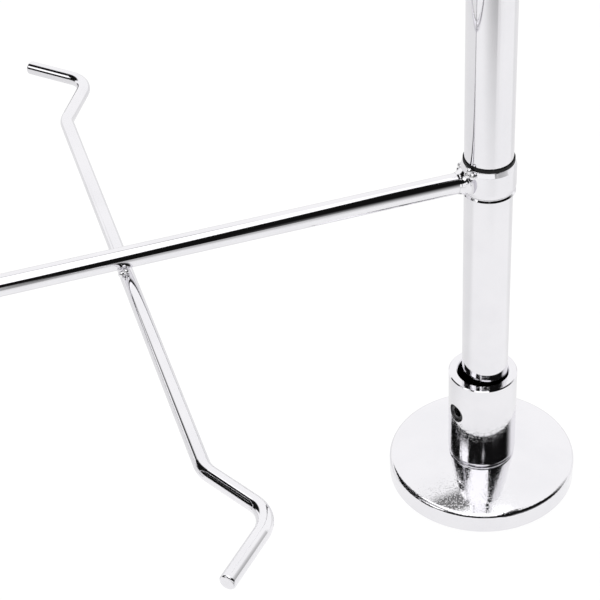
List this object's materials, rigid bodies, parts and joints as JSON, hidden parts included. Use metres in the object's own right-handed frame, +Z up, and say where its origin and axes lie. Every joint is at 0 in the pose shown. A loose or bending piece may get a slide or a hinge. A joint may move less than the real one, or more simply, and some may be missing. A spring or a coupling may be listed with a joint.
{
  "type": "valet stand",
  "caption": "Chromed valet stand: a portal frame on disc feet with sliding shoe rail and bent wire shoe holders, sliding trouser bar and a telescoping hanger-shaped jacket bow.",
  "frame": {"origin": "on the floor, midway between the two posts", "axes": "+Z up, +X along the rails towards the right post, -Y towards the front"},
  "size_m": [0.5252, 0.3152, 1.0618],
  "materials": {
    "chrome_tube": "bright chrome plating on steel tube",
    "chrome_foot": "bright chrome plating on turned steel",
    "chrome_fitting": "bright chrome plating on castings",
    "chrome_rod": "bright chrome plating on steel rod and wire",
    "pad_rubber": "matte black rubber",
    "dark_steel": "black oxide"
  },
  "bodies": {
    "frame": {"foot_pad_left": "pad_rubber", "foot_pad_right": "pad_rubber", "foot_disc_left": "chrome_foot", "foot_disc_right": "chrome_foot", "foot_bolt_left": "dark_steel", "foot_bolt_right": "dark_steel", "post_socket_left": "chrome_foot", "post_socket_right": "chrome_foot", "socket_screw_left": "dark_steel", "socket_screw_right": "dark_steel", "post_left": "chrome_tube", "post_right": "chrome_tube", "clamp_collar_left": "chrome_fitting", "clamp_collar_right": "chrome_fitting", "collar_screws": "dark_steel"},
    "shoe_rest": {"shoe_rail": "chrome_rod", "shoe_rail_ring_left": "chrome_fitting", "shoe_rail_ring_right": "chrome_fitting", "shoe_rail_screws": "dark_steel", "shoe_holder_left": "chrome_rod", "shoe_holder_right": "chrome_rod"},
    "trouser_rest": {"trouser_bar": "chrome_rod", "trouser_bar_ring_left": "chrome_fitting", "trouser_bar_ring_right": "chrome_fitting", "trouser_bar_screws": "dark_steel"},
    "jacket_rest": {"jacket_bow": "chrome_tube"}
  },
  "joints": [
    {"name": "shoe_rest_height", "type": "slide", "parent": "frame", "child": "shoe_rest", "axis": [0, 0, 1], "range_m": [-0.07, 0.3]},
    {"name": "trouser_rest_height", "type": "slide", "parent": "frame", "child": "trouser_rest", "axis": [0, 0, 1], "range_m": [-0.2, 0.1]},
    {"name": "jacket_rest_height", "type": "slide", "parent": "frame", "child": "jacket_rest", "axis": [0, 0, 1], "range_m": [-0.01, 0.14]}
  ]
}
